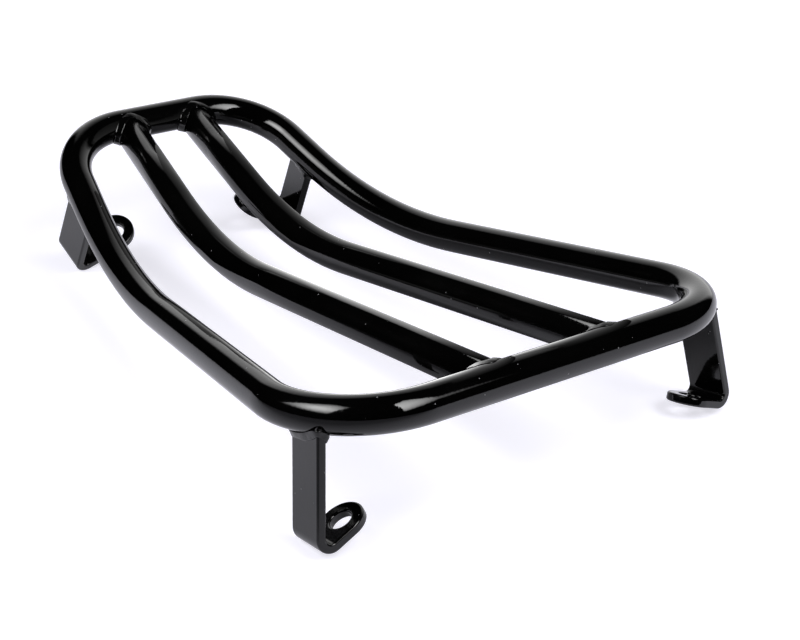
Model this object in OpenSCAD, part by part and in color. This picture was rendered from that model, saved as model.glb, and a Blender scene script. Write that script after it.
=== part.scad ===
// Rigid tubular luggage rack: a bent tube loop, two inner bars and four strap feet.
// The front edge is the wide one and faces -Y. The feet stand on Z = 0.

/* [Tube loop] */
// Outside diameter of every tube
tube_d = 16; // [12:0.5:24]
// Wall thickness of every tube
tube_wall = 2; // [1:0.25:3]
// Width across the front, outside to outside of its sharp corners
front_w = 241; // [190:1:320]
// Width across the rear, outside to outside of its sharp corners
rear_w = 130; // [110:1:190]
// Front section, from the front tube's axis to the fold
front_len = 228; // [180:1:320]
// Rear section, from the fold to the rear tube's axis
rear_len = 106; // [90:1:180]
// Axis radius of the two front corners
front_corner_r = 42; // [30:1:55]
// Axis radius of the two rear corners
rear_corner_r = 41; // [30:1:48]
// Axis radius of the side tubes' rise at the fold
fold_r = 199; // [120:1:220]
// How far the rear section turns up from the front section, in degrees
rise = 31; // [15:0.5:40]

/* [Inner bars] */
// Bar spacing at the front tube, axis to axis
bar_front_gap = 61.5; // [40:0.5:100]
// Bar spacing at the rear tube, axis to axis
bar_rear_gap = 38; // [30:0.5:44]
// Axis radius of the bars' rise at the fold
bar_fold_r = 162; // [120:1:220]

/* [Stance] */
// Height of the front tube's axis above the floor
front_h = 59.5; // [50:0.5:90]
// How far the front section slopes down towards the rear, in degrees
pitch = 9.25; // [0:0.25:12]

/* [Strap feet] */
// Width of the flat strap
strap_w = 20; // [14:0.5:25]
// Thickness of the flat strap
strap_t = 4; // [2.5:0.25:5]
// Inside radius of the strap's bend
strap_bend_r = 2.5; // [1.5:0.25:6]
// Bolt hole in each tab
hole_d = 9.5; // [5:0.5:11]
// Front tab, from the end of the bend to its round tip
front_tab = 19.5; // [17:0.5:35]
// Rear tab, from the end of the bend to its round tip
rear_tab = 30.5; // [17:0.5:40]
// Angle through which a front strap is bent, in degrees
front_bend = 122; // [90:1:135]
// Angle through which a rear strap is bent, in degrees
rear_bend = 113.5; // [90:0.5:135]
// Front feet, behind the front tube's axis
front_foot_y = 24; // [16:0.5:45]
// Rear feet, ahead of the rear tube's axis
rear_foot_y = 46.5; // [36:0.5:60]
// How far outside the tube's axis each strap stands
foot_out = 0.9; // [0:0.1:1.5]

/* [Strap angles] */
// Front left foot, splayed outwards, in degrees
front_left_splay = 6; // [-5:0.5:15]
// Front left foot, raked back from square, in degrees
front_left_rake = -1.5; // [-10:0.5:10]
// Front left foot, turned about its leg, in degrees
front_left_turn = 3; // [-10:0.5:10]
// Front right foot, splayed outwards, in degrees
front_right_splay = 12.5; // [-5:0.5:15]
// Front right foot, raked back from square, in degrees
front_right_rake = 1.5; // [-10:0.5:10]
// Front right foot, turned about its leg, in degrees
front_right_turn = 7.5; // [-10:0.5:10]
// Rear left foot, splayed outwards, in degrees
rear_left_splay = 0; // [-5:0.5:15]
// Rear left foot, raked back from square, in degrees
rear_left_rake = 5.5; // [-10:0.5:10]
// Rear left foot, turned about its leg, in degrees
rear_left_turn = -4.5; // [-10:0.5:10]
// Rear right foot, splayed outwards, in degrees
rear_right_splay = -1; // [-5:0.5:15]
// Rear right foot, raked back from square, in degrees
rear_right_rake = -1.5; // [-10:0.5:10]
// Rear right foot, turned about its leg, in degrees
rear_right_turn = -7.5; // [-10:0.5:10]

/* [Welds] */
// Leg of the fillet weld round each bar end
bar_weld = 4.5; // [2:0.1:6]
// Leg of the fillet weld round each strap's top
strap_weld = 4.5; // [2:0.1:6]
// How full the welds are, from hollow to proud
weld_crown = 0.3; // [0:0.05:1]
// Height of the ripples, as a share of the weld's leg
ripple = 0.1; // [0:0.01:0.2]

/* [Hidden] */
$fn = 96;

tube_r = tube_d / 2;
bore_d = tube_d - 2 * tube_wall;
front_x = front_w / 2 - tube_r;
rear_x = rear_w / 2 - tube_r;
side_len = front_len + rear_len;
// How far a side moves inwards for each millimetre towards the rear
taper = (front_x - rear_x) / side_len;
fold_x = front_x - taper * front_len;
rear_tilt = rise - pitch;
// A bend swells by this much, and the straight runs lap into it
bend_swell = 0.04;
lap = 0.2;
// Clearance of a coped end, and of a bead from the steel under it
cope_gap = 0.05;
bead_gap = 0.07;
// Half the depth, which centres the part on its box
half_y = (front_len * cos(pitch) + rear_len * cos(rear_tilt)) / 2;
coat = "#101012";

// ---- vectors and tube paths
function unit(v) = v / norm(v);
function turn_at(a, b, c) = acos(unit(b - a) * unit(c - b));
function setback(a, b, c, r) = r * tan(turn_at(a, b, c) / 2);
// Twist about the run b-c from the bend at b to the bend at c
function roll_at(a, b, c, d) =
    let (m = unit(cross(b - a, c - b)), n = unit(cross(c - b, d - c)))
    atan2(cross(m, n) * unit(c - b), m * n);

// A point at s along the frame, on the two planes that meet at the sharp fold
function frame_point(x, s) = s <= front_len ? [x, s, 0]
    : [x, front_len + (s - front_len) * cos(rise), (s - front_len) * sin(rise)];

// One bend of a round bar, starting at the origin along +Z and turning towards +X
module bend(r, angle, d) {
    reach = 2 * (r + d);
    intersection() {
        translate([r, 0, 0])
            rotate([90, 0, 0])
                rotate_extrude()
                    translate([r, 0])
                        circle(d = d + bend_swell);
        translate([-reach / 2, -d, 0])
            cube([2 * reach, 2 * d, reach]);
        after_bend(r, angle)
            translate([-reach / 2, -d, -reach])
                cube([2 * reach, 2 * d, reach]);
    }
}

module after_bend(r, angle) {
    translate([r, 0, 0])
        rotate([0, angle, 0])
            translate([-r, 0, 0])
                children();
}

// Round bar through the points as a tube bender makes it: run, bend, roll, run.
// It starts at the origin along +Z, with the first bend turning towards +X.
module bent_bar(pts, radii, d, i = 0) {
    last = len(pts) - 2;
    before = i == 0 ? 0 : setback(pts[i - 1], pts[i], pts[i + 1], radii[i - 1]);
    after = i == last ? 0 : setback(pts[i], pts[i + 1], pts[i + 2], radii[i]);
    run = norm(pts[i + 1] - pts[i]) - before - after;
    translate([0, 0, -lap])
        cylinder(d = d, h = run + 2 * lap);
    if (i < last) {
        angle = turn_at(pts[i], pts[i + 1], pts[i + 2]);
        roll = i + 1 == last ? 0 : roll_at(pts[i], pts[i + 1], pts[i + 2], pts[i + 3]);
        translate([0, 0, run]) {
            bend(radii[i], angle, d);
            after_bend(radii[i], angle)
                rotate([0, 0, roll])
                    bent_bar(pts, radii, d, i + 1);
        }
    }
}

// Moves a bent bar from the origin to its own points
module on_path(pts) {
    z = unit(pts[1] - pts[0]);
    y = unit(cross(pts[1] - pts[0], pts[2] - pts[1]));
    x = cross(y, z);
    o = pts[0];
    multmatrix([[x.x, y.x, z.x, o.x],
                [x.y, y.y, z.y, o.y],
                [x.z, y.z, z.z, o.z],
                [0, 0, 0, 1]])
        children();
}

// Right half of the loop, from just past the middle of the front tube to that of the rear
past = 1;
half_pts = [frame_point(-past, 0), frame_point(front_x, 0), frame_point(fold_x, front_len),
    frame_point(rear_x, side_len), frame_point(-past, side_len)];

module half_loop(d) {
    intersection() {
        on_path(half_pts)
            bent_bar(half_pts, [front_corner_r, fold_r, rear_corner_r], d);
        translate([0, -side_len, -side_len])
            cube([front_w, 3 * side_len, 2 * side_len]);
    }
}

module loop_solid(d) {
    half_loop(d);
    mirror([1, 0, 0])
        half_loop(d);
}

// Places the front section's own plane over the floor
module front_plane() {
    translate([0, -half_y, front_h])
        rotate([-pitch, 0, 0])
            children();
}

// Places the rear section's own plane, with its origin on the rear tube's axis
module rear_plane() {
    front_plane()
        translate(frame_point(0, side_len))
            rotate([rise, 0, 0])
                children();
}

module outer_loop() {
    color(coat)
        front_plane()
            difference() {
                loop_solid(tube_d);
                loop_solid(bore_d);
            }
}

// ---- inner bars
bar_front_x = bar_front_gap / 2;
bar_rear_x = bar_rear_gap / 2;
bar_fold_x = bar_front_x - (bar_front_x - bar_rear_x) * front_len / side_len;
bar_skew = atan((bar_front_x - bar_rear_x) / side_len);

bar_pts = [frame_point(bar_front_x, 0), frame_point(bar_fold_x, front_len),
    frame_point(bar_rear_x, side_len)];

module bar_solid(d) {
    on_path(bar_pts)
        bent_bar(bar_pts, [bar_fold_r], d);
}

// Right-hand bar, with both ends coped to the loop
module bar() {
    color(coat)
        front_plane()
            difference() {
                bar_solid(tube_d);
                bar_solid(bore_d);
                loop_solid(tube_d + 2 * cope_gap);
            }
}

module right_bar() {
    bar();
}

module left_bar() {
    mirror([1, 0, 0])
        bar();
}

// ---- strap feet
// Half-width of the loop's axis in the front section, at y behind the front tube
side_angle = atan(taper);
front_set = front_corner_r * tan((90 + side_angle) / 2);
front_arc_x = front_x - front_set;
function front_side_x(y) = y < front_set * cos(side_angle)
    ? front_arc_x + sqrt(max(0, pow(front_corner_r, 2) - pow(front_corner_r - y, 2)))
    : front_x - taper * y;
// Half-width in the rear section, at y ahead of the rear tube
rear_set = rear_corner_r * tan((90 - side_angle) / 2);
rear_arc_x = rear_x - rear_set;
function rear_side_x(y) = y < rear_set * cos(side_angle)
    ? rear_arc_x + sqrt(max(0, pow(rear_corner_r, 2) - pow(rear_corner_r - y, 2)))
    : rear_x + taper * y;

front_anchor = [front_side_x(front_foot_y) + foot_out, front_foot_y];
rear_anchor = [rear_side_x(rear_foot_y) + foot_out, -rear_foot_y];
front_anchor_z = front_h - front_foot_y * sin(pitch);
rear_anchor_z = front_h - front_len * sin(pitch) + (rear_len - rear_foot_y) * sin(rear_tilt);

// Leg length that sets the outside of the bend on the floor.
// set is [splay, rake, turn] and tilt is how far the foot's own plane is turned up.
function leg_len(anchor_z, tilt, set) =
    let (k = set[1] + tilt,
        nz = sin(set[2]) * sin(k) + cos(set[2]) * sin(set[0]) * cos(k),
        wz = cos(set[2]) * sin(k) - sin(set[2]) * sin(set[0]) * cos(k),
        drop = (strap_bend_r + strap_t + bend_swell / 2) * sqrt(1 - wz * wz)
            + (strap_w + bend_swell) / 2 * abs(wz))
    (anchor_z - nz * (strap_bend_r + strap_t / 2) - drop) / (cos(k) * cos(set[0]));

// Strap frame: -Z down the leg, +X outwards, +Y along the strap's width
module strap_frame(anchor, set) {
    translate([anchor.x, anchor.y, 0])
        rotate([set[1], 0, 0])
            rotate([0, -set[0], 0])
                rotate([0, 0, set[2]])
                    children();
}

module strap_leg(leg) {
    translate([-strap_t / 2, -strap_w / 2, -leg])
        cube([strap_t, strap_w, leg]);
}

// Flat strap with one bend, a round-ended tab and its bolt hole
module strap(leg, tab, angle) {
    mid_r = strap_bend_r + strap_t / 2;
    difference() {
        union() {
            strap_leg(leg + lap);
            translate([-mid_r, 0, -leg])
                rotate([-90, 0, 0])
                    rotate_extrude(angle = angle)
                        translate([mid_r, 0])
                            square([strap_t + bend_swell, strap_w + bend_swell], center = true);
            tab_frame(leg, angle) {
                translate([-strap_t / 2, -strap_w / 2, -(tab - strap_w / 2)])
                    cube([strap_t, strap_w, tab - strap_w / 2 + lap]);
                tab_disc(tab, strap_w, strap_t);
            }
        }
        tab_frame(leg, angle)
            tab_disc(tab, hole_d, 2 * strap_t);
    }
}

module tab_frame(leg, angle) {
    mid_r = strap_bend_r + strap_t / 2;
    translate([-mid_r, 0, -leg])
        rotate([0, angle, 0])
            translate([mid_r, 0, 0])
                children();
}

module tab_disc(tab, d, h) {
    translate([0, 0, -(tab - strap_w / 2)])
        rotate([0, 90, 0])
            cylinder(d = d, h = h, center = true);
}

module front_foot(set) {
    color(coat)
        difference() {
            front_plane()
                strap_frame(front_anchor, set)
                    strap(leg_len(front_anchor_z, -pitch, set), front_tab, front_bend);
            front_plane()
                loop_solid(tube_d);
        }
}

module rear_foot(set) {
    color(coat)
        difference() {
            rear_plane()
                strap_frame(rear_anchor, set)
                    strap(leg_len(rear_anchor_z, rear_tilt, set), rear_tab, rear_bend);
            front_plane()
                loop_solid(tube_d);
        }
}

front_left_set = [front_left_splay, front_left_rake, front_left_turn];
front_right_set = [front_right_splay, front_right_rake, front_right_turn];
rear_left_set = [rear_left_splay, rear_left_rake, rear_left_turn];
rear_right_set = [rear_right_splay, rear_right_rake, rear_right_turn];

module front_left_foot() {
    mirror([1, 0, 0])
        front_foot(front_left_set);
}

module front_right_foot() {
    front_foot(front_right_set);
}

module rear_left_foot() {
    mirror([1, 0, 0])
        rear_foot(rear_left_set);
}

module rear_right_foot() {
    rear_foot(rear_right_set);
}

// ---- fillet welds
// Closed weld from rings of [root, toe on the first piece, middle and toe on the second, rise].
// The rise lifts the bead's face off the root.
// The rings go round the way that makes root, first toe and second toe turn clockwise ahead.
module weld(rings) {
    n = len(rings);
    function face_point(a, b, c, t) =
        (1 - t) * (1 - t) * a + 2 * t * (1 - t) * c + t * t * b;
    loops = [for (g = rings)
        let (crest = g[0] + (g[1] + g[3] - 2 * g[0]) * weld_crown + g[4])
        [g[0], g[1], face_point(g[1], g[3], crest, 0.25), face_point(g[1], g[3], crest, 0.5),
            face_point(g[1], g[3], crest, 0.75), g[3], g[2]]];
    m = len(loops[0]);
    polyhedron([for (l = loops) each l],
        [for (i = [0 : n - 1], j = [0 : m - 1])
            let (a = i * m + j, b = i * m + (j + 1) % m,
                c = ((i + 1) % n) * m + (j + 1) % m, d = ((i + 1) % n) * m + j)
            each [[a, b, c], [a, c, d]]]);
}

function wave(i, n, waves) = 1 + ripple * sin(360 * waves * i / n);

// Fillet round a coped bar end: the bar lies along +Y and the cross tube along X.
// At the crown, where the tubes run level, the seam is eased, and the bead is low and narrower.
weld_steps = 36;
crown_ease = 0.03;
crown_trim = 0.7;
crown_rise = 0.28;
weld_r = tube_r + bead_gap;
// How far the cross tube's face stands off its axis at x, where it is s off level with the axis.
// bow_x is the bar's place on the rear tube, which bends towards it, or 0 at the straight front tube.
function tube_face(x, s, bow_x) = bow_x == 0 || abs(bow_x - x) < rear_arc_x ? s
    : rear_corner_r - sqrt(max(0, pow(rear_corner_r - s, 2) - pow(abs(bow_x - x) - rear_arc_x, 2)));
// The same along the skewed bar, found by a few corrections
function cross_y(x, s, bow_x, y = 0, k = 4) = k == 0 ? y
    : let (face = tube_face(x * cos(bar_skew) - y * sin(bar_skew), s, bow_x))
    cross_y(x, s, bow_x, (face - x * sin(bar_skew)) / cos(bar_skew), k - 1);
function cross_point(a, leg, bow_x) =
    let (q = asin(abs(sin(a))) + leg / tube_r * abs(sin(a)) * 180 / PI,
        x = (weld_r + leg) * cos(a))
    [x, cross_y(x, weld_r * cos(q), bow_x), weld_r * sin(q) * (sin(a) < 0 ? -1 : 1)];

module bar_weld_ring(bow_x) {
    weld([for (i = [0 : weld_steps - 1])
        let (a = 360 * i / weld_steps, leg = bar_weld * wave(i, weld_steps, 12),
            root = cross_point(a, 0, bow_x), level = pow(sin(a), 4),
            ease = weld_r * (sqrt(pow(cos(a), 2) + crown_ease) - abs(cos(a))),
            reach = leg * (1 - crown_trim * level))
        [root, root + [0, ease + leg, 0],
            cross_point(a, reach / 2, bow_x), cross_point(a, reach, bow_x),
            [cos(a), 0, sin(a)] * crown_rise * leg * level]]);
}

module front_bar_weld() {
    color(coat)
        front_plane()
            translate([bar_front_x, 0, 0])
                rotate([0, 0, bar_skew])
                    bar_weld_ring(0);
}

module rear_bar_weld() {
    color(coat)
        rear_plane()
            translate([bar_rear_x, 0, 0])
                rotate([0, 0, 180 + bar_skew])
                    bar_weld_ring(bar_rear_x);
}

module front_right_bar_weld() {
    front_bar_weld();
}

module front_left_bar_weld() {
    mirror([1, 0, 0])
        front_bar_weld();
}

module rear_right_bar_weld() {
    rear_bar_weld();
}

module rear_left_bar_weld() {
    mirror([1, 0, 0])
        rear_bar_weld();
}

// Outline of the strap's section: [outward angle, point on the outline]
face_steps = 8;
half_outline = concat(
    [for (j = [0 : face_steps]) [0, [strap_t, (2 * j / face_steps - 1) * strap_w] / 2]],
    [[45, [strap_t, strap_w] / 2]],
    [for (j = [-1 : 1]) [90, [-j * strap_t, strap_w] / 2]],
    [[135, [-strap_t, strap_w] / 2]]);
outline = [for (k = [1, -1], e = half_outline) [e[0] + 90 * (1 - k), k * e[1]]];

function turn_x(v, a) = [v.x, v.y * cos(a) - v.z * sin(a), v.y * sin(a) + v.z * cos(a)];
function turn_y(v, a) = [v.x * cos(a) + v.z * sin(a), v.y, v.z * cos(a) - v.x * sin(a)];
function turn_z(v, a) = [v.x * cos(a) - v.y * sin(a), v.x * sin(a) + v.y * cos(a), v.z];
// A point of the strap frame, seen in its section's plane
function strap_point(anchor, set, p) =
    [anchor.x, anchor.y, 0] + turn_x(turn_y(turn_z(p, set[2]), -set[0]), set[1]);

// Distance in plan from the loop's axis, in each section's plane
function front_off(q) = q.y < front_set * cos(side_angle)
    ? abs(norm([q.x - front_arc_x, q.y - front_corner_r]) - front_corner_r)
    : abs(q.x - front_x + taper * q.y) * cos(side_angle);
function rear_off(q) = -q.y < rear_set * cos(side_angle)
    ? abs(norm([q.x - rear_arc_x, -q.y - rear_corner_r]) - rear_corner_r)
    : abs(q.x - rear_x + taper * q.y) * cos(side_angle);
function off_axis(q, rear) = rear ? rear_off(q) : front_off(q);

// How far down the leg the line at [x, y] leaves the tube, found by a few corrections.
// No toe climbs past the limit, where the tube's side grows steep.
toe_limit = 0.95 * weld_r;
function leave(anchor, set, p, rear, h, k = 6) = k == 0 ? h
    : let (q = strap_point(anchor, set, [p.x, p.y, -h]),
        under = sqrt(weld_r * weld_r - pow(min(off_axis(q, rear), toe_limit), 2)))
    leave(anchor, set, p, rear, h + (q.z + under) / (cos(set[0]) * cos(set[1])), k - 1);
function under_tube(anchor, set, p, rear) =
    [p.x, p.y, -leave(anchor, set, p, rear, tube_r)];

module strap_weld_ring(anchor, set, rear) {
    n = len(outline);
    strap_frame(anchor, set)
        weld([for (i = [0 : n - 1])
            let (e = outline[i], out = [cos(e[0]), sin(e[0])],
                leg = strap_weld * wave(i, n, 9),
                foot = e[1] + bead_gap * out,
                root = under_tube(anchor, set, foot, rear))
            [root, under_tube(anchor, set, foot + out * leg / 2, rear),
                root - [0, 0, leg / 2], root - [0, 0, leg], [0, 0, 0]]]
            );
}

module front_foot_weld(set) {
    color(coat)
        front_plane()
            strap_weld_ring(front_anchor, set, false);
}

module rear_foot_weld(set) {
    color(coat)
        rear_plane()
            strap_weld_ring(rear_anchor, set, true);
}

module front_left_foot_weld() {
    mirror([1, 0, 0])
        front_foot_weld(front_left_set);
}

module front_right_foot_weld() {
    front_foot_weld(front_right_set);
}

module rear_left_foot_weld() {
    mirror([1, 0, 0])
        rear_foot_weld(rear_left_set);
}

module rear_right_foot_weld() {
    rear_foot_weld(rear_right_set);
}

outer_loop();
left_bar();
right_bar();
front_left_foot();
front_right_foot();
rear_left_foot();
rear_right_foot();
front_left_bar_weld();
front_right_bar_weld();
rear_left_bar_weld();
rear_right_bar_weld();
front_left_foot_weld();
front_right_foot_weld();
rear_left_foot_weld();
rear_right_foot_weld();
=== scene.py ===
import math
import bmesh
import bpy
from mathutils import Matrix, Vector, noise


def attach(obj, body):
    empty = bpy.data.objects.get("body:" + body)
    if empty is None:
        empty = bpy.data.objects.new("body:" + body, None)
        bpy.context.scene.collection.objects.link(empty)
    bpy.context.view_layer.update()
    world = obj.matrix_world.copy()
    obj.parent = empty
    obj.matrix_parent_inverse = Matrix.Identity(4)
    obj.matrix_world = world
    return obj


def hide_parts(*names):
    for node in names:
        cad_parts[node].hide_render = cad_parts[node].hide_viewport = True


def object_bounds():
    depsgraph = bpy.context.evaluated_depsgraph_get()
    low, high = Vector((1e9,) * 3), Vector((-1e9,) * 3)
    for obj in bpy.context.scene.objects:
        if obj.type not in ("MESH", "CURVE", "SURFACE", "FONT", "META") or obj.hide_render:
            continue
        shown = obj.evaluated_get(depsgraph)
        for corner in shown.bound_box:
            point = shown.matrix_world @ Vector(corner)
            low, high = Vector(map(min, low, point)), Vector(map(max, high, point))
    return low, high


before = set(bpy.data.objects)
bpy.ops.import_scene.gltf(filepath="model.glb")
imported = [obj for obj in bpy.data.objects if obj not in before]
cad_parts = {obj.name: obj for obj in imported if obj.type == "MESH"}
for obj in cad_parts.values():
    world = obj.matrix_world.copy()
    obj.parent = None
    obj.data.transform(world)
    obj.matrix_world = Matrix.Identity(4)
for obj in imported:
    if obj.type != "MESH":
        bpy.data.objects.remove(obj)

print("rack frame in:", len(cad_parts), "solids")
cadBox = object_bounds()
mergeDistance = 1e-6    # metres

# camera, looking down across the rack from its front left corner
viewSettings = {
    "place": (-0.42563, -0.62062, 0.38175),
    "turn": (63.8037, -2.0986, -36.0972),   # degrees
    "lens": 78.966,
    "sensor": 36,
    "farthest": 50,
}

cameraData = bpy.data.cameras.new("studioCamera")
cameraData.lens = viewSettings["lens"]
cameraData.sensor_width = viewSettings["sensor"]
cameraData.clip_end = viewSettings["farthest"]
camera = bpy.data.objects.new("studioCamera", cameraData)
camera.location = viewSettings["place"]
camera.rotation_euler = [math.radians(a) for a in viewSettings["turn"]]
bpy.context.collection.objects.link(camera)
bpy.context.scene.camera = camera
bpy.context.scene.view_settings.view_transform = "Standard"
print("camera placed")


# small helpers for objects and node trees
def newObject(name, mesh, material=None, smooth=True):
    data = bpy.data.meshes.new(name)
    mesh.to_mesh(data)
    mesh.free()
    for polygon in data.polygons:
        polygon.use_smooth = smooth
    if material:
        data.materials.append(material)
    thing = bpy.data.objects.new(name, data)
    bpy.context.collection.objects.link(thing)
    return thing


def newMaterial(name):
    material = bpy.data.materials.new(name)
    material.use_nodes = True
    nodes = material.node_tree.nodes
    nodes.clear()
    return material, nodes, material.node_tree.links


def addNode(nodes, kind, place, **values):
    node = nodes.new(kind)
    node.location = place
    for key, value in values.items():
        setattr(node, key, value)
    return node


def addMath(nodes, place, operation, factor=None):
    node = addNode(nodes, "ShaderNodeMath", place, operation=operation)
    if factor is not None:
        node.inputs[1].default_value = factor
    return node


def addRange(nodes, place, start=0, end=1, first=0, last=1, soft=False):
    node = addNode(nodes, "ShaderNodeMapRange", place)
    node.interpolation_type = "SMOOTHSTEP" if soft else "LINEAR"
    for socket, value in (("From Min", start), ("From Max", end), ("To Min", first), ("To Max", last)):
        node.inputs[socket].default_value = value
    return node


# studio: paper floor, two softboxes, a lit card behind and a dark room round it
studio = {
    "floorSize": 8.0,
    "floorColor": (0.54, 0.54, 0.60, 1),
    "glowColor": (0.94, 0.93, 1.0, 1),
    "floorGlowNear": 0.71,      # the paper's own white, as the camera sees it near the rack
    "floorGlowFar": 1.0,        # and away from it
    "fadeStart": 0.22,          # metres from the rack's middle
    "fadeEnd": 0.55,
    "coatGlow": 0.50,           # the same white, as the gloss coat reflects it
    "darkWay": (-0.87, -0.50, 0.0),     # towards the unlit side, where those reflections turn dark
    "darkStart": 0.08,          # metres along darkWay
    "darkEnd": 0.32,
    "darkShare": 0.45,          # what is left of the paper's colour there
    "poolPlace": (0.05, 0.01),  # middle of the shade under the rack, in the same reflections
    "poolSize": (0.07, 0.165),  # half its width and half its length
    "poolSoft": (0.8, 1.3),     # its soft rim, in shares of that size
    "poolDepth": 0.85,
}


def makeFloor():
    mesh = bmesh.new()
    bmesh.ops.create_grid(mesh, x_segments=1, y_segments=1, size=studio["floorSize"] / 2)
    bmesh.ops.translate(mesh, verts=mesh.verts, vec=(0, 0, cadBox[0][2]))
    material, nodes, links = newMaterial("paperFloor")
    output = addNode(nodes, "ShaderNodeOutputMaterial", (700, 0))
    both = addNode(nodes, "ShaderNodeAddShader", (500, 0))
    paper = addNode(nodes, "ShaderNodeBsdfDiffuse", (250, 0))
    glow = addNode(nodes, "ShaderNodeEmission", (250, -150))
    glow.inputs["Color"].default_value = studio["glowColor"]
    place = addNode(nodes, "ShaderNodeTexCoord", (-500, 200))
    path = addNode(nodes, "ShaderNodeLightPath", (-300, 500))
    # white that the camera sees, growing with distance
    distance = addNode(nodes, "ShaderNodeVectorMath", (-300, 200), operation="LENGTH")
    fade = addRange(nodes, (-100, 200), studio["fadeStart"], studio["fadeEnd"],
                    studio["floorGlowNear"], studio["floorGlowFar"], soft=True)
    seen = addMath(nodes, (100, 300), "MULTIPLY")
    links.new(place.outputs["Object"], distance.inputs[0])
    links.new(distance.outputs["Value"], fade.inputs["Value"])
    links.new(path.outputs["Is Camera Ray"], seen.inputs[0])
    links.new(fade.outputs["Result"], seen.inputs[1])
    # darkness that the coat reflects: the unlit side, and the pool under the rack
    along = addNode(nodes, "ShaderNodeVectorMath", (-300, -200), operation="DOT_PRODUCT")
    along.inputs[1].default_value = studio["darkWay"]
    unlit = addRange(nodes, (-100, -200), studio["darkStart"], studio["darkEnd"], soft=True)
    under = addNode(nodes, "ShaderNodeVectorMath", (-500, -450), operation="MULTIPLY_ADD")
    (poolX, poolY), (poolWidth, poolLength) = studio["poolPlace"], studio["poolSize"]
    under.inputs[1].default_value = (1 / poolWidth, 1 / poolLength, 0)
    under.inputs[2].default_value = (-poolX / poolWidth, -poolY / poolLength, 0)
    reach = addNode(nodes, "ShaderNodeVectorMath", (-300, -450), operation="LENGTH")
    pool = addRange(nodes, (-100, -450), *studio["poolSoft"], studio["poolDepth"], 0, soft=True)
    dark = addMath(nodes, (0, -300), "MAXIMUM")
    links.new(place.outputs["Object"], along.inputs[0])
    links.new(along.outputs["Value"], unlit.inputs["Value"])
    links.new(place.outputs["Object"], under.inputs[0])
    links.new(under.outputs["Vector"], reach.inputs[0])
    links.new(reach.outputs["Value"], pool.inputs["Value"])
    links.new(unlit.outputs["Result"], dark.inputs[0])
    links.new(pool.outputs["Result"], dark.inputs[1])
    # glow for both, and the paper's colour
    coatGlow = addRange(nodes, (100, -350), first=studio["coatGlow"], last=0)
    level = addMath(nodes, (250, 450), "MULTIPLY_ADD")
    dim = addMath(nodes, (100, 600), "MULTIPLY")
    shade = addNode(nodes, "ShaderNodeMix", (250, 750), data_type="RGBA")
    shade.inputs["A"].default_value = studio["floorColor"]
    shade.inputs["B"].default_value = [c * studio["darkShare"] for c in studio["floorColor"][:3]] + [1]
    links.new(dark.outputs[0], coatGlow.inputs["Value"])
    links.new(path.outputs["Is Glossy Ray"], level.inputs[0])
    links.new(coatGlow.outputs["Result"], level.inputs[1])
    links.new(seen.outputs[0], level.inputs[2])
    links.new(level.outputs[0], glow.inputs["Strength"])
    links.new(path.outputs["Is Glossy Ray"], dim.inputs[0])
    links.new(dark.outputs[0], dim.inputs[1])
    links.new(dim.outputs[0], shade.inputs["Factor"])
    links.new(shade.outputs["Result"], paper.inputs["Color"])
    links.new(paper.outputs[0], both.inputs[0])
    links.new(glow.outputs[0], both.inputs[1])
    links.new(both.outputs[0], output.inputs["Surface"])
    newObject("paperFloor", mesh, material, smooth=False)


def makeWorld():
    world = bpy.data.worlds.new("studioWorld")
    bpy.context.scene.world = world
    world.use_nodes = True
    nodes, links = world.node_tree.nodes, world.node_tree.links
    nodes.clear()
    output = addNode(nodes, "ShaderNodeOutputWorld", (400, 0))
    back = addNode(nodes, "ShaderNodeBackground", (200, 0))
    path = addNode(nodes, "ShaderNodeLightPath", (-200, 0))
    links.new(path.outputs["Is Camera Ray"], back.inputs["Strength"])
    back.inputs["Color"].default_value = (1, 1, 1, 1)
    links.new(back.outputs[0], output.inputs["Surface"])


# each lamp faces the rack: compass angle from +Y towards +X and height angle in degrees, then metres;
# its shine in the coat is an upright card between two ends, with (place, share) stops across and up it
softboxes = {
    "left": {"azimuth": -85, "elevation": 46, "distance": 1.3, "width": 0.85, "height": 0.62, "lamp": 6.3,
             "ends": ((-1.17, -0.44), (-0.87, 0.62)), "low": 0.58, "high": 2.6, "shine": 11.8,
             "across": ((0, 0), (0.05, 0.6), (0.3, 0.95), (0.55, 1), (0.75, 0.65), (0.94, 0.4), (1, 0)),
             "up": ((0, 0), (0.1, 0.6), (0.22, 1), (0.34, 1), (0.48, 0.68), (0.7, 0.42), (1, 0))},
    "right": {"azimuth": 165, "elevation": 50, "distance": 1.3, "width": 0.75, "height": 0.85, "lamp": 6.3,
              "ends": ((-0.10, -0.975), (0.31, -0.49)), "low": 0.38, "high": 1.85, "shine": 10.5,
              "across": ((0, 0.6), (0.02, 1), (0.3, 0.92), (0.6, 0.78), (0.9, 0.5), (1, 0)),
              "up": ((0, 0), (0.05, 0.4), (0.15, 0.8), (0.3, 1), (0.6, 0.95), (0.95, 0.65), (1, 0))},
}
backCard = {
    "azimuth": 43, "distance": 1.5, "width": 2.5, "height": 2.1,
    "footShine": 1.4, "topShine": 0.0, "softEnds": 0.15,
}


def cardMatrix(azimuth, elevation, distance):
    azimuth, elevation = math.radians(azimuth), math.radians(elevation)
    away = Vector((math.sin(azimuth) * math.cos(elevation), math.cos(azimuth) * math.cos(elevation),
                   math.sin(elevation)))
    turn = away.to_track_quat("Z", "Y").to_matrix().to_4x4()
    return Matrix.Translation(away * distance) @ turn


def shineOnly(card):
    card.visible_camera = False
    card.visible_diffuse = False
    card.visible_shadow = False


def addStops(nodes, place, stops):
    ramp = addNode(nodes, "ShaderNodeValToRGB", place)
    elements = ramp.color_ramp.elements
    for share, value in stops[1:-1]:
        elements.new(share)
    for element, (share, value) in zip(elements, stops):
        element.position = share
        element.color = (value, value, value, 1)
    return ramp


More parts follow.
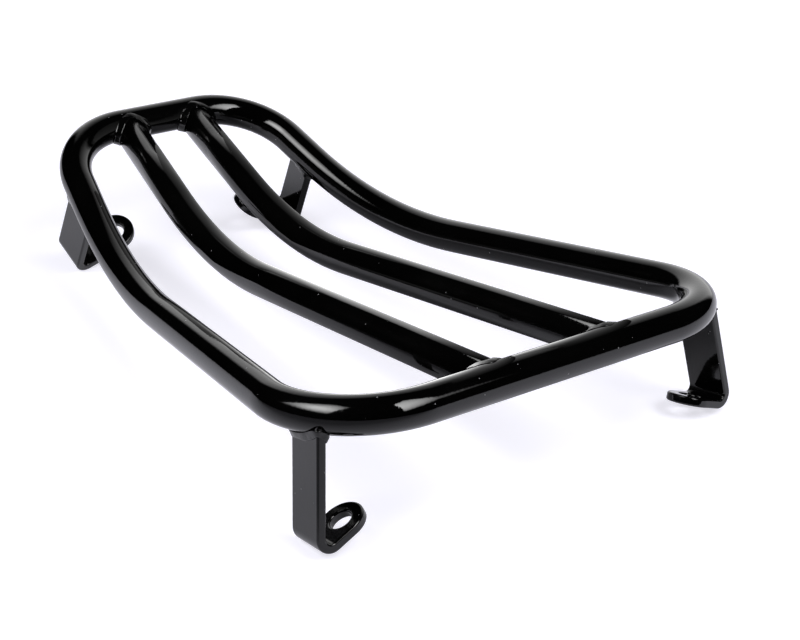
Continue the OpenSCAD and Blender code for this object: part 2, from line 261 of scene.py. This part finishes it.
def makeSoftbox(name, box):
    lampData = bpy.data.lights.new(name + "Lamp", "AREA")
    lampData.shape = "RECTANGLE"
    lampData.size, lampData.size_y = box["width"], box["height"]
    lampData.energy = box["lamp"] * math.pi * box["width"] * box["height"]
    lamp = bpy.data.objects.new(name + "Lamp", lampData)
    lamp.matrix_world = cardMatrix(box["azimuth"], box["elevation"], box["distance"])
    lamp.visible_glossy = False
    bpy.context.collection.objects.link(lamp)
    mesh = bmesh.new()
    mesh.loops.layers.uv.new("card")
    bmesh.ops.create_grid(mesh, x_segments=1, y_segments=1, size=1, calc_uvs=True)
    material, nodes, links = newMaterial(name + "Shine")
    output = addNode(nodes, "ShaderNodeOutputMaterial", (900, 0))
    glow = addNode(nodes, "ShaderNodeEmission", (700, 0))
    place = addNode(nodes, "ShaderNodeTexCoord", (-400, 0))
    split = addNode(nodes, "ShaderNodeSeparateXYZ", (-200, 0))
    across = addStops(nodes, (0, 150), box["across"])
    up = addStops(nodes, (0, -150), box["up"])
    both = addMath(nodes, (300, 0), "MULTIPLY")
    level = addMath(nodes, (500, 0), "MULTIPLY", box["shine"])
    links.new(place.outputs["UV"], split.inputs[0])
    links.new(split.outputs["X"], across.inputs[0])
    links.new(split.outputs["Y"], up.inputs[0])
    links.new(across.outputs[0], both.inputs[0])
    links.new(up.outputs[0], both.inputs[1])
    links.new(both.outputs[0], level.inputs[0])
    links.new(level.outputs[0], glow.inputs["Strength"])
    links.new(glow.outputs[0], output.inputs["Surface"])
    card = newObject(name + "Softbox", mesh, material, smooth=False)
    first, last = (Vector(end).to_3d() for end in box["ends"])
    half = (last - first) / 2
    rise = Vector((0, 0, (box["high"] - box["low"]) / 2))
    middle = (first + last) / 2 + Vector((0, 0, box["low"])) + rise
    stand = Matrix((half, rise, half.cross(rise))).transposed().to_4x4()
    card.matrix_world = Matrix.Translation(middle) @ stand
    shineOnly(card)


def makeBackCard():
    # a card one unit wide and high, standing on its foot, then sized
    mesh = bmesh.new()
    bmesh.ops.create_grid(mesh, x_segments=1, y_segments=1, size=0.5)
    bmesh.ops.translate(mesh, verts=mesh.verts, vec=(0, 0.5, 0))
    material, nodes, links = newMaterial("backCardShine")
    output = addNode(nodes, "ShaderNodeOutputMaterial", (600, 0))
    glow = addNode(nodes, "ShaderNodeEmission", (400, 0))
    place = addNode(nodes, "ShaderNodeTexCoord", (-200, 0))
    split = addNode(nodes, "ShaderNodeSeparateXYZ", (0, 0))
    fall = addRange(nodes, (200, 0), first=backCard["footShine"], last=backCard["topShine"])
    wide = addMath(nodes, (0, -200), "ABSOLUTE")
    ends = addRange(nodes, (200, -250), 0.5 - backCard["softEnds"], 0.5, 1, 0, soft=True)
    both = addMath(nodes, (300, 100), "MULTIPLY")
    links.new(place.outputs["Object"], split.inputs[0])
    links.new(split.outputs["Y"], fall.inputs["Value"])
    links.new(split.outputs["X"], wide.inputs[0])
    links.new(wide.outputs[0], ends.inputs["Value"])
    links.new(fall.outputs["Result"], both.inputs[0])
    links.new(ends.outputs["Result"], both.inputs[1])
    links.new(both.outputs[0], glow.inputs["Strength"])
    links.new(glow.outputs[0], output.inputs["Surface"])
    card = newObject("backCard", mesh, material, smooth=False)
    card.matrix_world = (cardMatrix(backCard["azimuth"], 0, backCard["distance"])
                         @ Matrix.Diagonal((backCard["width"], backCard["height"], 1, 1)))
    shineOnly(card)


makeFloor()
makeWorld()
makeBackCard()
for name, box in softboxes.items():
    makeSoftbox(name, box)
print("studio lit")


# gloss coat: flow marks, dust caught in it and faint scuffs are shared groups
flowDetail = {"fine": 2.0, "broad": 1.0}
scuffLook = {
    "turn": (0.35, 0.2, 0.9),       # radians
    "stretch": (1.0, 14.0, 6.0),
    "detail": 3.0,
    "line": (0.62, 0.72),
    "patch": (0.48, 0.66),
}


def newGroup(name, inputs, outputs):
    group = bpy.data.node_groups.new(name, "ShaderNodeTree")
    for title, kind, value in inputs:
        socket = group.interface.new_socket(name=title, in_out="INPUT", socket_type="NodeSocket" + kind)
        if value is not None:
            socket.default_value = value
    for title, kind in outputs:
        group.interface.new_socket(name=title, in_out="OUTPUT", socket_type="NodeSocket" + kind)
    start = addNode(group.nodes, "NodeGroupInput", (-900, 0))
    end = addNode(group.nodes, "NodeGroupOutput", (900, 0))
    return group, group.nodes, group.links, start, end


def makeFlow():
    group, nodes, links, start, end = newGroup(
        "coatFlow", [("Vector", "Vector", None), ("Fine", "Float", 700.0), ("Broad", "Float", 170.0),
                     ("Lumps", "Float", 0.35)], [("Height", "Float")])
    fine = addNode(nodes, "ShaderNodeTexNoise", (-500, 200))
    fine.inputs["Detail"].default_value = flowDetail["fine"]
    broad = addNode(nodes, "ShaderNodeTexNoise", (-500, -100))
    broad.inputs["Detail"].default_value = flowDetail["broad"]
    weigh = addMath(nodes, (-200, -100), "MULTIPLY")
    total = addMath(nodes, (100, 0), "ADD")
    links.new(start.outputs["Vector"], fine.inputs["Vector"])
    links.new(start.outputs["Vector"], broad.inputs["Vector"])
    links.new(start.outputs["Fine"], fine.inputs["Scale"])
    links.new(start.outputs["Broad"], broad.inputs["Scale"])
    links.new(broad.outputs[0], weigh.inputs[0])
    links.new(start.outputs["Lumps"], weigh.inputs[1])
    links.new(fine.outputs[0], total.inputs[0])
    links.new(weigh.outputs[0], total.inputs[1])
    links.new(total.outputs[0], end.inputs["Height"])
    return group


def makeDust():
    # a speck sits in some of the cells only
    group, nodes, links, start, end = newGroup(
        "coatDust", [("Vector", "Vector", None), ("Density", "Float", 260.0), ("Size", "Float", 0.075),
                     ("Share", "Float", 0.30)], [("Mask", "Float")])
    cells = addNode(nodes, "ShaderNodeTexVoronoi", (-500, 100))
    split = addNode(nodes, "ShaderNodeSeparateColor", (-250, -50))
    chosen = addMath(nodes, (0, -50), "LESS_THAN")
    near = addMath(nodes, (0, 150), "LESS_THAN")
    both = addMath(nodes, (300, 50), "MULTIPLY")
    links.new(start.outputs["Vector"], cells.inputs["Vector"])
    links.new(start.outputs["Density"], cells.inputs["Scale"])
    links.new(cells.outputs["Color"], split.inputs[0])
    links.new(split.outputs["Red"], chosen.inputs[0])
    links.new(start.outputs["Share"], chosen.inputs[1])
    links.new(cells.outputs["Distance"], near.inputs[0])
    links.new(start.outputs["Size"], near.inputs[1])
    links.new(chosen.outputs[0], both.inputs[0])
    links.new(near.outputs[0], both.inputs[1])
    links.new(both.outputs[0], end.inputs["Mask"])
    return group


def makeScuffs():
    # short hairlines, gathered in patches
    group, nodes, links, start, end = newGroup(
        "coatScuffs", [("Vector", "Vector", None), ("Scale", "Float", 60.0), ("Amount", "Float", 0.5)],
        [("Mask", "Float")])
    stretch = addNode(nodes, "ShaderNodeMapping", (-650, 150))
    stretch.inputs["Rotation"].default_value = scuffLook["turn"]
    stretch.inputs["Scale"].default_value = scuffLook["stretch"]
    lines = addNode(nodes, "ShaderNodeTexNoise", (-400, 150))
    lines.inputs["Detail"].default_value = scuffLook["detail"]
    thin = addRange(nodes, (-150, 150), *scuffLook["line"])
    patches = addNode(nodes, "ShaderNodeTexNoise", (-400, -150))
    where = addRange(nodes, (-150, -150), *scuffLook["patch"])
    both = addMath(nodes, (150, 50), "MULTIPLY")
    share = addMath(nodes, (400, 50), "MULTIPLY")
    links.new(start.outputs["Vector"], stretch.inputs["Vector"])
    links.new(stretch.outputs[0], lines.inputs["Vector"])
    links.new(start.outputs["Scale"], lines.inputs["Scale"])
    links.new(start.outputs["Vector"], patches.inputs["Vector"])
    links.new(start.outputs["Scale"], patches.inputs["Scale"])
    links.new(lines.outputs[0], thin.inputs["Value"])
    links.new(patches.outputs[0], where.inputs["Value"])
    links.new(thin.outputs[0], both.inputs[0])
    links.new(where.outputs[0], both.inputs[1])
    links.new(both.outputs[0], share.inputs[0])
    links.new(start.outputs["Amount"], share.inputs[1])
    links.new(share.outputs[0], end.inputs["Mask"])
    return group


coatGroups = {"flow": makeFlow(), "dust": makeDust(), "scuffs": makeScuffs()}
# base: how pale the black is; dull and spread: roughness and how far it drifts; fine, broad and lumps: the
# flow marks' scales and mix; bump and depth: their strength and height; dust and scuffs: how much of each
coats = {
    "tubeCoat": {"base": 0.0009, "dull": 0.035, "spread": 0.05, "fine": 700, "broad": 150, "lumps": 0.6,
                 "bump": 0.16, "depth": 0.00012, "dust": 0.28, "scuffs": 0.5},
    "strapCoat": {"base": 0.0011, "dull": 0.05, "spread": 0.06, "fine": 800, "broad": 220, "lumps": 0.5,
                  "bump": 0.16, "depth": 0.00012, "dust": 0.35, "scuffs": 0.6},
    "weldCoat": {"base": 0.0011, "dull": 0.05, "spread": 0.08, "fine": 900, "broad": 350, "lumps": 0.9,
                 "bump": 0.30, "depth": 0.00022, "dust": 0.5, "scuffs": 0.3},
}
coatDrift = {
    "scale": 22.0,              # the black and its gloss change slowly along a piece
    "span": (0.35, 0.65),
    "darkest": 0.7,             # times base
    "palest": 1.4,
}
wear = {"dustColor": (0.16, 0.16, 0.17, 1), "scuffDull": 0.22, "dustDull": 0.5}


def addGroup(nodes, group, place, **values):
    node = addNode(nodes, "ShaderNodeGroup", place)
    node.node_tree = group
    for key, value in values.items():
        node.inputs[key].default_value = value
    return node


def blackCoat(name, coat):
    material, nodes, links = newMaterial(name)
    output = addNode(nodes, "ShaderNodeOutputMaterial", (900, 0))
    shader = addNode(nodes, "ShaderNodeBsdfPrincipled", (600, 0))
    place = addNode(nodes, "ShaderNodeTexCoord", (-900, 0))
    flow = addGroup(nodes, coatGroups["flow"], (-500, -400), Fine=coat["fine"], Broad=coat["broad"],
                    Lumps=coat["lumps"])
    dust = addGroup(nodes, coatGroups["dust"], (-500, 100), Share=coat["dust"])
    scuffs = addGroup(nodes, coatGroups["scuffs"], (-500, -150), Amount=coat["scuffs"])
    drift = addNode(nodes, "ShaderNodeTexNoise", (-700, 400))
    drift.inputs["Scale"].default_value = coatDrift["scale"]
    shade = addRange(nodes, (-450, 400), *coatDrift["span"], coat["base"] * coatDrift["darkest"],
                     coat["base"] * coatDrift["palest"])
    black = addNode(nodes, "ShaderNodeCombineColor", (-200, 400))
    color = addNode(nodes, "ShaderNodeMix", (100, 300), data_type="RGBA")
    color.inputs["B"].default_value = wear["dustColor"]
    gloss = addRange(nodes, (-200, 100), *coatDrift["span"], coat["dull"], coat["dull"] + coat["spread"])
    worn = addMath(nodes, (50, 0), "MULTIPLY_ADD", wear["scuffDull"])
    rough = addMath(nodes, (250, 0), "MULTIPLY_ADD", wear["dustDull"])
    bump = addNode(nodes, "ShaderNodeBump", (300, -300))
    bump.inputs["Strength"].default_value = coat["bump"]
    bump.inputs["Distance"].default_value = coat["depth"]
    for node in (flow, dust, scuffs, drift):
        links.new(place.outputs["Object"], node.inputs["Vector"])
    links.new(drift.outputs[0], shade.inputs["Value"])
    for channel in ("Red", "Green", "Blue"):
        links.new(shade.outputs[0], black.inputs[channel])
    links.new(dust.outputs["Mask"], color.inputs["Factor"])
    links.new(black.outputs[0], color.inputs["A"])
    links.new(color.outputs["Result"], shader.inputs["Base Color"])
    links.new(drift.outputs[0], gloss.inputs["Value"])
    links.new(scuffs.outputs["Mask"], worn.inputs[0])
    links.new(gloss.outputs[0], worn.inputs[2])
    links.new(dust.outputs["Mask"], rough.inputs[0])
    links.new(worn.outputs[0], rough.inputs[2])
    links.new(rough.outputs[0], shader.inputs["Roughness"])
    links.new(flow.outputs["Height"], bump.inputs["Height"])
    links.new(bump.outputs["Normal"], shader.inputs["Normal"])
    links.new(shader.outputs[0], output.inputs["Surface"])
    return material


coatMaterials = {name: blackCoat(name, coat) for name, coat in coats.items()}
print("coats mixed")


# tubes: a ring of edges pushed along each run and spun round each bend; metres and degrees
rackShape = {
    "tubeRadius": 0.008,
    "frontWidth": 0.241, "rearWidth": 0.130,        # over the tubes, as if the corners were sharp
    "frontLength": 0.228, "rearLength": 0.106,      # along the axes, before and after the fold
    "frontCorner": 0.042, "rearCorner": 0.041, "foldBend": 0.199,
    "rise": 31, "pitch": 9.25,                      # slope of the rear part on the front one, and of that
    "frontHeight": 0.0595,                          # axis of the front tube
    "barFrontGap": 0.0615, "barRearGap": 0.038, "barFoldBend": 0.162,
    "ringSides": 64, "bendStep": 1.5,
}
riseAngle, pitchAngle = math.radians(rackShape["rise"]), math.radians(rackShape["pitch"])
sideLength = rackShape["frontLength"] + rackShape["rearLength"]
halfDepth = (rackShape["frontLength"] * math.cos(pitchAngle)
             + rackShape["rearLength"] * math.cos(riseAngle - pitchAngle)) / 2
frontPlane = (Matrix.Translation((0, -halfDepth, rackShape["frontHeight"]))
              @ Matrix.Rotation(-pitchAngle, 4, "X"))


def rackPoint(x, along):
    # a point of the bent plane that the axes lie in, by its way back from the front tube
    flat = min(along, rackShape["frontLength"])
    over = max(0, along - rackShape["frontLength"])
    return frontPlane @ Vector((x, flat + over * math.cos(riseAngle), over * math.sin(riseAngle)))


def vertsOf(geom):
    return [v for v in geom if isinstance(v, bmesh.types.BMVert)]


def ringEdges(ring, geom):
    edges = [e for e in geom if isinstance(e, bmesh.types.BMEdge)]
    return [e for e in edges if e.verts[0] in ring and e.verts[1] in ring]


def bendTube(mesh, points, radii):
    ahead = (points[1] - points[0]).normalized()
    start = Matrix.Translation(points[0]) @ ahead.to_track_quat("Z", "X").to_matrix().to_4x4()
    ring = bmesh.ops.create_circle(mesh, segments=rackShape["ringSides"], radius=rackShape["tubeRadius"],
                                   matrix=start)["verts"]
    here = points[0]
    for i in range(1, len(points)):
        ahead = (points[i] - points[i - 1]).normalized()
        edges = ringEdges(ring, mesh.edges)
        if i == len(points) - 1:
            stop, angle = points[i], 0
        else:
            turned = (points[i + 1] - points[i]).normalized()
            angle = ahead.angle(turned)
            stop = points[i] - ahead * radii[i - 1] * math.tan(angle / 2)
        pushed = bmesh.ops.extrude_edge_only(mesh, edges=edges)["geom"]
        ring = vertsOf(pushed)
        bmesh.ops.translate(mesh, verts=ring, vec=stop - here)
        here = stop
        if angle:
            side = (turned - ahead * turned.dot(ahead)).normalized()
            centre = stop + side * radii[i - 1]
            steps = max(2, round(math.degrees(angle) / rackShape["bendStep"]))
            spun = bmesh.ops.spin(mesh, geom=ring + ringEdges(ring, pushed), cent=centre, angle=angle,
                                  axis=ahead.cross(turned).normalized(), steps=steps, use_merge=False)
            ring = vertsOf(spun["geom_last"])
            here = sum((v.co for v in ring), Vector()) / len(ring)


def makeLoop():
    frontX = rackShape["frontWidth"] / 2 - rackShape["tubeRadius"]
    rearX = rackShape["rearWidth"] / 2 - rackShape["tubeRadius"]
    foldX = frontX + (rearX - frontX) * rackShape["frontLength"] / sideLength
    points = [rackPoint(0, 0), rackPoint(frontX, 0), rackPoint(foldX, rackShape["frontLength"]),
              rackPoint(rearX, sideLength), rackPoint(0, sideLength)]
    mesh = bmesh.new()
    bendTube(mesh, points, [rackShape["frontCorner"], rackShape["foldBend"], rackShape["rearCorner"]])
    # the other half is its mirror image
    bmesh.ops.mirror(mesh, geom=mesh.verts[:] + mesh.edges[:] + mesh.faces[:], axis="X",
                     merge_dist=mergeDistance)
    bmesh.ops.remove_doubles(mesh, verts=mesh.verts, dist=mergeDistance)
    bmesh.ops.recalc_face_normals(mesh, faces=mesh.faces)
    loop = newObject("tubeLoop", mesh, coatMaterials["tubeCoat"])
    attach(loop, "root")
    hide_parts("outer_loop")


def makeBar(name, side):
    frontX, rearX = rackShape["barFrontGap"] / 2, rackShape["barRearGap"] / 2
    foldX = frontX + (rearX - frontX) * rackShape["frontLength"] / sideLength
    points = [rackPoint(side * frontX, 0), rackPoint(side * foldX, rackShape["frontLength"]),
              rackPoint(side * rearX, sideLength)]
    mesh = bmesh.new()
    bendTube(mesh, points, [rackShape["barFoldBend"]])
    bmesh.ops.holes_fill(mesh, edges=mesh.edges, sides=0)
    bmesh.ops.recalc_face_normals(mesh, faces=mesh.faces)
    bar = newObject(name + "BarTube", mesh, coatMaterials["tubeCoat"])
    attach(bar, "root")
    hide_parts(name + "_bar")


# strips beside each bar, seen by the coat only: a black one keeps the left softbox off the bar,
# a pale one lights its far edge; side of the rack, metres off the bar's axis, heights, foot and top shine
strips = {
    "leftFlag": {"side": -1, "offset": -0.011, "low": 0.002, "high": 0.040, "shine": (0, 0)},
    "rightFlag": {"side": 1, "offset": -0.011, "low": 0.002, "high": 0.040, "shine": (0, 0)},
    "leftFill": {"side": -1, "offset": 0.010, "low": -0.004, "high": 0.058, "shine": (5.0, 0.8)},
    "rightFill": {"side": 1, "offset": 0.010, "low": -0.004, "high": 0.058, "shine": (3.4, 0.4)},
}
# each is lower towards the rear; its shine starts a little above its foot, changes up to its top and
# follows (place, share) stops from front to rear
stripFade = {
    "steps": 24, "reach": 0.94,
    "rearHigh": 0.8, "drop": 0.75, "slope": 0.3,
    "riseStart": 0.2,
    "stops": ((0, 0), (0.08, 0.2), (0.18, 1), (0.38, 0.9), (0.64, 0.25), (0.80, 0.08), (1, 0.06)),
}


def makeStrip(name, strip):
    frontX, rearX = rackShape["barFrontGap"] / 2, rackShape["barRearGap"] / 2
    mesh = bmesh.new()
    mesh.loops.layers.uv.new("strip")
    bmesh.ops.create_grid(mesh, x_segments=stripFade["steps"], y_segments=1, size=1, calc_uvs=True)
    for v in mesh.verts:
        share = (v.co.x + 1) / 2 * stripFade["reach"]
        x = strip["side"] * (frontX + (rearX - frontX) * share) + strip["offset"]
        taper = (stripFade["drop"] - share) / stripFade["slope"]
        high = strip["high"] * min(1, max(stripFade["rearHigh"], taper))
        lift = Vector((0, 0, high if v.co.y > 0 else strip["low"]))
        v.co = rackPoint(x, share * sideLength) + lift
    # lit on the bar's side and clear on the other, so that other tubes see past it
    bmesh.ops.recalc_face_normals(mesh, faces=mesh.faces)
    if sum(f.normal.x for f in mesh.faces) * strip["offset"] > 0:
        bmesh.ops.reverse_faces(mesh, faces=mesh.faces)
    material, nodes, links = newMaterial(name)
    output = addNode(nodes, "ShaderNodeOutputMaterial", (700, 0))
    mix = addNode(nodes, "ShaderNodeMixShader", (500, 0))
    glow = addNode(nodes, "ShaderNodeEmission", (300, 0))
    clear = addNode(nodes, "ShaderNodeBsdfTransparent", (300, -150))
    facing = addNode(nodes, "ShaderNodeNewGeometry", (200, 250))
    place = addNode(nodes, "ShaderNodeTexCoord", (-500, 0))
    split = addNode(nodes, "ShaderNodeSeparateXYZ", (-300, 0))
    rise = addRange(nodes, (-100, 100), stripFade["riseStart"], 1, *strip["shine"])
    length = addStops(nodes, (-100, -150), stripFade["stops"])
    both = addMath(nodes, (100, 0), "MULTIPLY")
    links.new(place.outputs["UV"], split.inputs[0])
    links.new(split.outputs["Y"], rise.inputs["Value"])
    links.new(split.outputs["X"], length.inputs[0])
    links.new(rise.outputs["Result"], both.inputs[0])
    links.new(length.outputs[0], both.inputs[1])
    links.new(both.outputs[0], glow.inputs["Strength"])
    links.new(facing.outputs["Backfacing"], mix.inputs[0])
    links.new(glow.outputs[0], mix.inputs[1])
    links.new(clear.outputs[0], mix.inputs[2])
    links.new(mix.outputs[0], output.inputs["Surface"])
    shineOnly(newObject(name, mesh, material, smooth=False))


for name, strip in strips.items():
    makeStrip(name, strip)
makeLoop()
makeBar("left", -1)
makeBar("right", 1)
print("tubes bent")


# strap feet: a flat blank with a round end and a hole, edges rounded, then bent and set under the loop;
# metres and degrees, with the hole's diameter and the tabs' lengths past the bend
strapShape = {
    "width": 0.020, "thickness": 0.004, "insideBend": 0.0025, "hole": 0.0095, "edgeRound": 0.0009,
    "frontTab": 0.0195, "rearTab": 0.0305, "frontBend": 122, "rearBend": 113.5,
    "frontPlace": 0.024, "rearPlace": 0.0465, "standOut": 0.0009,
    "circleSides": 48, "bendSteps": 14, "legSteps": 6,
    "ringSizes": (0.72, 1.0), "squareFrom": 0.02,   # shares of the round end's radius
    "rimAngle": 1, "rimSteps": 5,                   # radians: sharper edges than this are rounded
}
# side, front or rear, then splay, rake and turn in degrees
feet = {
    "front_left": (-1, "front", 6, -1.5, 3),
    "front_right": (1, "front", 12.5, 1.5, 7.5),
    "rear_left": (-1, "rear", 0, 5.5, -4.5),
    "rear_right": (1, "rear", -1, -1.5, -7.5),
}


def sideX(end):
    # how far out the loop's axis runs at a foot
    slope = math.atan((rackShape["frontWidth"] - rackShape["rearWidth"]) / 2 / sideLength)
    width = rackShape[end + "Width"] / 2 - rackShape["tubeRadius"]
    radius = rackShape[end + "Corner"]
    place = strapShape[end + "Place"]
    sign = 1 if end == "front" else -1
    tangent = radius * math.tan((math.pi / 2 + sign * slope) / 2)
    if place < tangent * math.cos(slope):
        return width - tangent + math.sqrt(max(0, radius ** 2 - (radius - place) ** 2))
    return width - sign * math.tan(slope) * place


def legLength(end, splay, rake, turn):
    # the leg that brings the tab's lowest edge to the ground
    tilt = riseAngle - pitchAngle if end == "rear" else -pitchAngle
    place = strapShape[end + "Place"]
    if end == "front":
        height = rackShape["frontHeight"] - place * math.sin(pitchAngle)
    else:
        height = (rackShape["frontHeight"] - rackShape["frontLength"] * math.sin(pitchAngle)
                  + (rackShape["rearLength"] - place) * math.sin(tilt))
    lean = rake + tilt
    across = math.sin(turn) * math.sin(lean) + math.cos(turn) * math.sin(splay) * math.cos(lean)
    along = math.cos(turn) * math.sin(lean) - math.sin(turn) * math.sin(splay) * math.cos(lean)
    outer = strapShape["insideBend"] + strapShape["thickness"]
    middle = strapShape["insideBend"] + strapShape["thickness"] / 2
    drop = outer * math.sqrt(1 - along ** 2) + strapShape["width"] / 2 * abs(along)
    return (height - across * middle - drop) / (math.cos(lean) * math.cos(splay))


def strapBlank(leg, tab, angle):
    half, middle = strapShape["width"] / 2, strapShape["insideBend"] + strapShape["thickness"] / 2
    bendLength = middle * angle
    centre = leg + bendLength + tab - half
    sides = strapShape["circleSides"]
    mesh = bmesh.new()
    ring = bmesh.ops.create_circle(mesh, segments=sides, radius=strapShape["hole"] / 2)["verts"]
    for size in strapShape["ringSizes"]:
        ring = vertsOf(bmesh.ops.extrude_edge_only(mesh, edges=ringEdges(ring, mesh.edges))["geom"])
        for v in ring:
            v.co = v.co.normalized() * half * size
    bmesh.ops.translate(mesh, verts=mesh.verts, vec=(centre, 0, 0))
    # the ring's near half is drawn out square, to where the bend ends
    back = [v for v in ring if v.co.x < centre - half * strapShape["squareFrom"]]
    back.sort(key=lambda v: v.co.y)
    for i, v in enumerate(back):
        v.co = Vector((leg + bendLength, half * (2 * i / (len(back) - 1) - 1), 0))
    bendSteps, legSteps = strapShape["bendSteps"], strapShape["legSteps"]
    stops = [leg + bendLength * (1 - i / bendSteps) for i in range(1, bendSteps + 1)]
    stops += [leg * (1 - i / legSteps) for i in range(1, legSteps + 1)]
    for stop in stops:
        back = vertsOf(bmesh.ops.extrude_edge_only(mesh, edges=ringEdges(back, mesh.edges))["geom"])
        for v in back:
            v.co.x = stop
    # thickness, then rounded edges along the outline and the hole
    bmesh.ops.recalc_face_normals(mesh, faces=mesh.faces)
    thick = bmesh.ops.extrude_face_region(mesh, geom=mesh.faces[:])["geom"]
    bmesh.ops.translate(mesh, verts=vertsOf(thick), vec=(0, 0, strapShape["thickness"]))
    bmesh.ops.translate(mesh, verts=mesh.verts, vec=(0, 0, -strapShape["thickness"] / 2))
    bmesh.ops.recalc_face_normals(mesh, faces=mesh.faces)
    rims = [e for e in mesh.edges
            if len(e.link_faces) == 2 and e.calc_face_angle() > strapShape["rimAngle"]
            and abs(e.verts[0].co.z - e.verts[1].co.z) < mergeDistance]
    bmesh.ops.bevel(mesh, geom=rims, offset=strapShape["edgeRound"], segments=strapShape["rimSteps"],
                    profile=0.5, affect="EDGES", material=-1)
    # bend: x runs down the leg, z is how far a point stands off the middle of the strap
    for v in mesh.verts:
        along, across, off = v.co
        if along > leg:
            turned = min((along - leg) / middle, angle)
            past = max(0, along - leg - bendLength)
            local = Matrix.Rotation(turned, 3, "Y") @ Vector((middle + off, across, -past))
            v.co = local + Vector((-middle, 0, -leg))
        else:
            v.co = Vector((off, across, -along))
    return mesh


def pieceName(name, ending):
    return name.replace("_", " ").title().replace(" ", "") + ending


def makeFoot(name, side, end, splay, rake, turn):
    splay, rake, turn = math.radians(splay), math.radians(rake), math.radians(turn)
    leg = legLength(end, splay, rake, turn)
    mesh = strapBlank(leg, strapShape[end + "Tab"], math.radians(strapShape[end + "Bend"]))
    if end == "front":
        plane, place = frontPlane, strapShape["frontPlace"]
    else:
        corner = frontPlane.inverted() @ rackPoint(0, sideLength)
        plane = frontPlane @ Matrix.Translation(corner) @ Matrix.Rotation(riseAngle, 4, "X")
        place = -strapShape["rearPlace"]
    x = sideX(end) + strapShape["standOut"]
    matrix = (plane @ Matrix.Translation((x, place, 0)) @ Matrix.Rotation(rake, 4, "X")
              @ Matrix.Rotation(-splay, 4, "Y") @ Matrix.Rotation(turn, 4, "Z"))
    bmesh.ops.transform(mesh, matrix=Matrix.Diagonal((side, 1, 1, 1)) @ matrix, verts=mesh.verts)
    bmesh.ops.recalc_face_normals(mesh, faces=mesh.faces)
    foot = newObject(pieceName(name, "Strap"), mesh, coatMaterials["strapCoat"])
    weighted = foot.modifiers.new("flatFaces", "WEIGHTED_NORMAL")
    weighted.keep_sharp = True
    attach(foot, "root")
    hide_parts(name + "_foot")


for name, values in feet.items():
    makeFoot(name, *values)
print("feet bent")

# weld beads: a copy of each CAD weld, softened and made lumpy
weldShape = {
    "smooth": 10, "smoothShare": 0.5,
    "lump": 0.00030, "lumpScale": 260,
    "grain": 0.00006, "grainScale": 800,
    "footInset": 0.0009,                            # metres off each side of a foot bead
    "drop": {"front_right_foot_weld": 0.0045},      # and off the top of the one under the tightest corner
}


def makeWeld(name, node):
    mesh = bmesh.new()
    mesh.from_mesh(node.data)
    bmesh.ops.transform(mesh, matrix=node.matrix_world, verts=mesh.verts)
    bmesh.ops.remove_doubles(mesh, verts=mesh.verts, dist=mergeDistance)
    low = [min(v.co[i] for v in mesh.verts) for i in range(3)]
    high = [max(v.co[i] for v in mesh.verts) for i in range(3)]
    # the bead keeps to the CAD one's box; a foot bead is narrower, so that no ear stands past the tube
    if "foot" in name:
        low[0] += weldShape["footInset"]
        high[0] -= weldShape["footInset"]
    high[2] -= weldShape["drop"].get(name, 0)
    bmesh.ops.subdivide_edges(mesh, edges=mesh.edges[:], cuts=1, use_grid_fill=True)
    for _ in range(weldShape["smooth"]):
        bmesh.ops.smooth_vert(mesh, verts=mesh.verts, factor=weldShape["smoothShare"], use_axis_x=True,
                              use_axis_y=True, use_axis_z=True)
    mesh.normal_update()
    moved = []
    for v in mesh.verts:
        swell = (noise.noise(v.co * weldShape["lumpScale"]) * weldShape["lump"]
                 + noise.noise(v.co * weldShape["grainScale"]) * weldShape["grain"])
        moved.append(v.co + v.normal * swell)
    for v, co in zip(mesh.verts, moved):
        v.co = [min(max(co[i], low[i]), high[i]) for i in range(3)]
    bmesh.ops.recalc_face_normals(mesh, faces=mesh.faces)
    bead = newObject(pieceName(name, "Bead"), mesh, coatMaterials["weldCoat"])
    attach(bead, "root")
    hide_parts(name)


for name, node in sorted(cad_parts.items()):
    if name.endswith("weld"):
        makeWeld(name, node)
print("welds softened")
